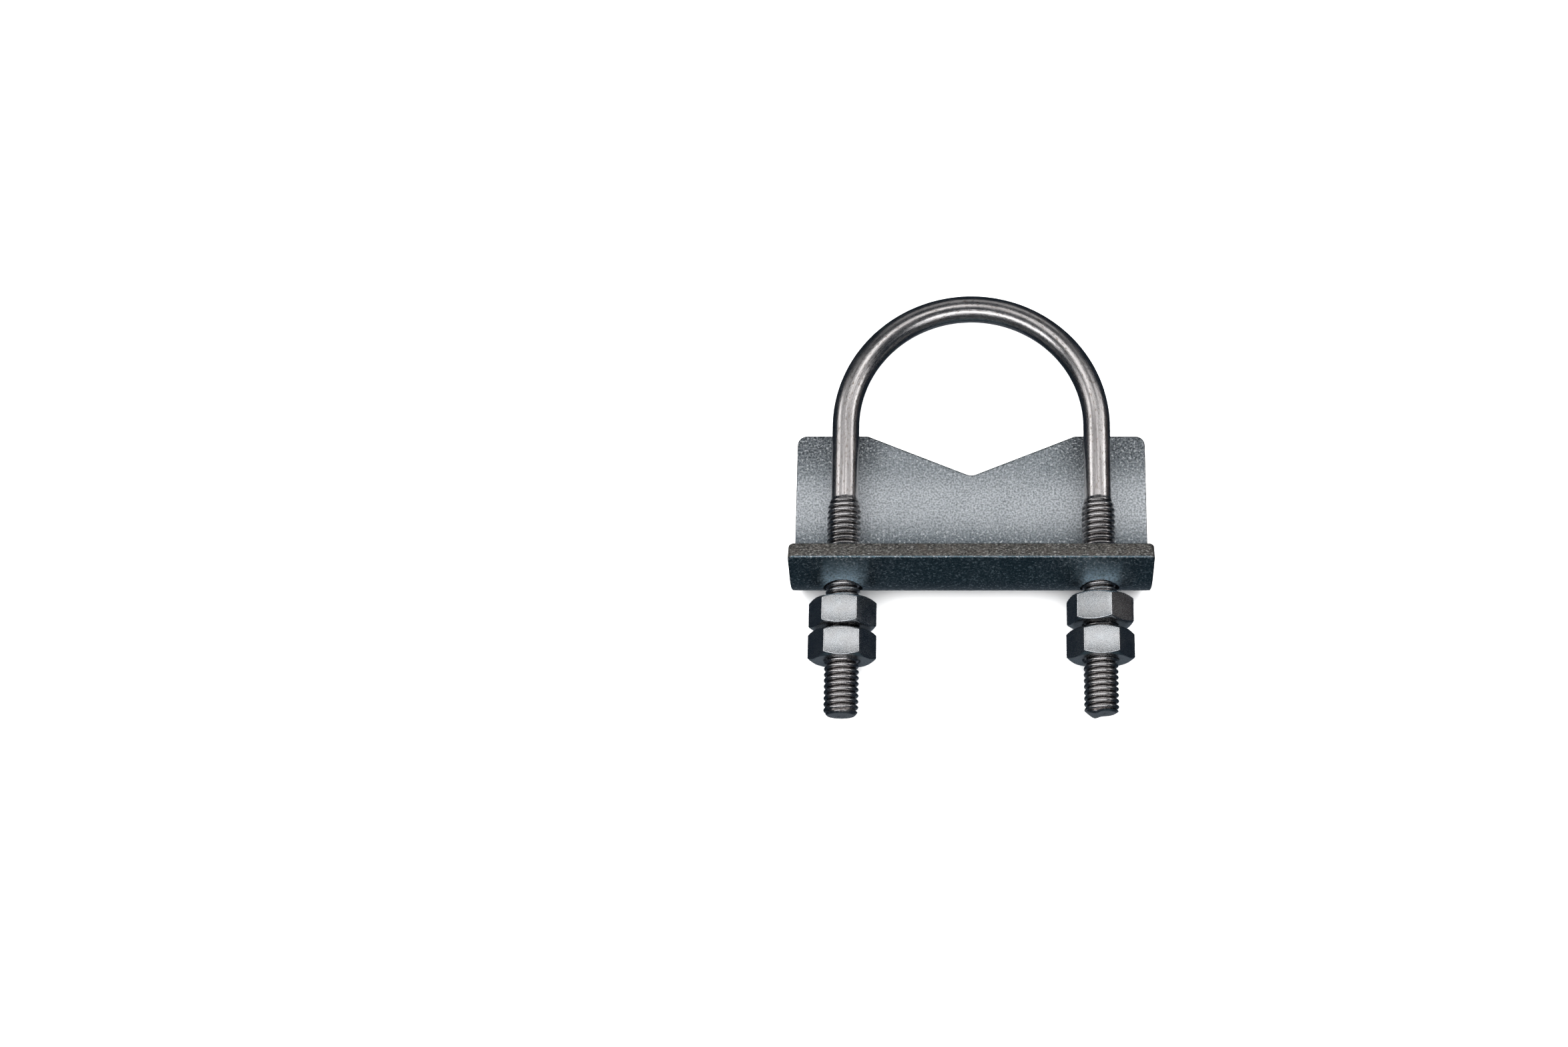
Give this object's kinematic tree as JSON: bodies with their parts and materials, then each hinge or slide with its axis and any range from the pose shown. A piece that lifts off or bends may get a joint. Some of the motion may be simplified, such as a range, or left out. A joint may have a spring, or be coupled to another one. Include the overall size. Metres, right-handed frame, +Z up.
{
  "type": "u-bolt pipe clamp",
  "caption": "U-bolt clamp with a bent V-notched saddle plate and paired hex nuts on its threaded legs, for holding a round pipe or mast.",
  "frame": {"origin": "middle of the footprint, on the plane the saddle's flange rests on", "axes": "+X along the saddle, +Y along the legs from their free ends to the arch, +Z up from the resting plane through the saddle's flange"},
  "size_m": [0.0604, 0.0748, 0.0179],
  "materials": {
    "bolt_zinc": "bright zinc plate with a clear passivate, drawn rod with rolled threads",
    "saddle_zinc": "zinc plate with a blue passivate over pressed sheet, grainy sheared edges",
    "nut_zinc": "zinc plate with a blue passivate, satin flats and bright chamfers"
  },
  "bodies": {
    "u_bolt": {"u_bolt": "bolt_zinc"},
    "saddle": {"saddle": "saddle_zinc"},
    "inner_nut_left": {"inner_nut_left": "nut_zinc"},
    "jam_nut_left": {"jam_nut_left": "nut_zinc"},
    "inner_nut_right": {"inner_nut_right": "nut_zinc"},
    "jam_nut_right": {"jam_nut_right": "nut_zinc"}
  },
  "joints": [
    {"name": "saddle_travel", "type": "slide", "parent": "u_bolt", "child": "saddle", "axis": [0, 1, 0], "range_m": [-0.009, 0.017]},
    {"name": "inner_nut_left_turn", "type": "hinge", "parent": "saddle", "child": "inner_nut_left", "pos_m": [-0.0215, -0.02015, 0.009], "axis": [0, 1, 0], "range_deg": [-3240, 6120]},
    {"name": "jam_nut_left_turn", "type": "hinge", "parent": "saddle", "child": "jam_nut_left", "pos_m": [-0.0215, -0.02565, 0.009], "axis": [0, 1, 0], "range_deg": [-3240, 6120]},
    {"name": "inner_nut_right_turn", "type": "hinge", "parent": "saddle", "child": "inner_nut_right", "pos_m": [0.0215, -0.01955, 0.009], "axis": [0, 1, 0], "range_deg": [-3240, 6120]},
    {"name": "jam_nut_right_turn", "type": "hinge", "parent": "saddle", "child": "jam_nut_right", "pos_m": [0.0215, -0.02545, 0.009], "axis": [0, 1, 0], "range_deg": [-3240, 6120]}
  ],
  "couplings": [
    {"joint": "inner_nut_left_turn", "follows": "saddle_travel", "rad_per_m": 6283.2},
    {"joint": "jam_nut_left_turn", "follows": "saddle_travel", "rad_per_m": 6283.2},
    {"joint": "inner_nut_right_turn", "follows": "saddle_travel", "rad_per_m": 6283.2},
    {"joint": "jam_nut_right_turn", "follows": "saddle_travel", "rad_per_m": 6283.2}
  ]
}
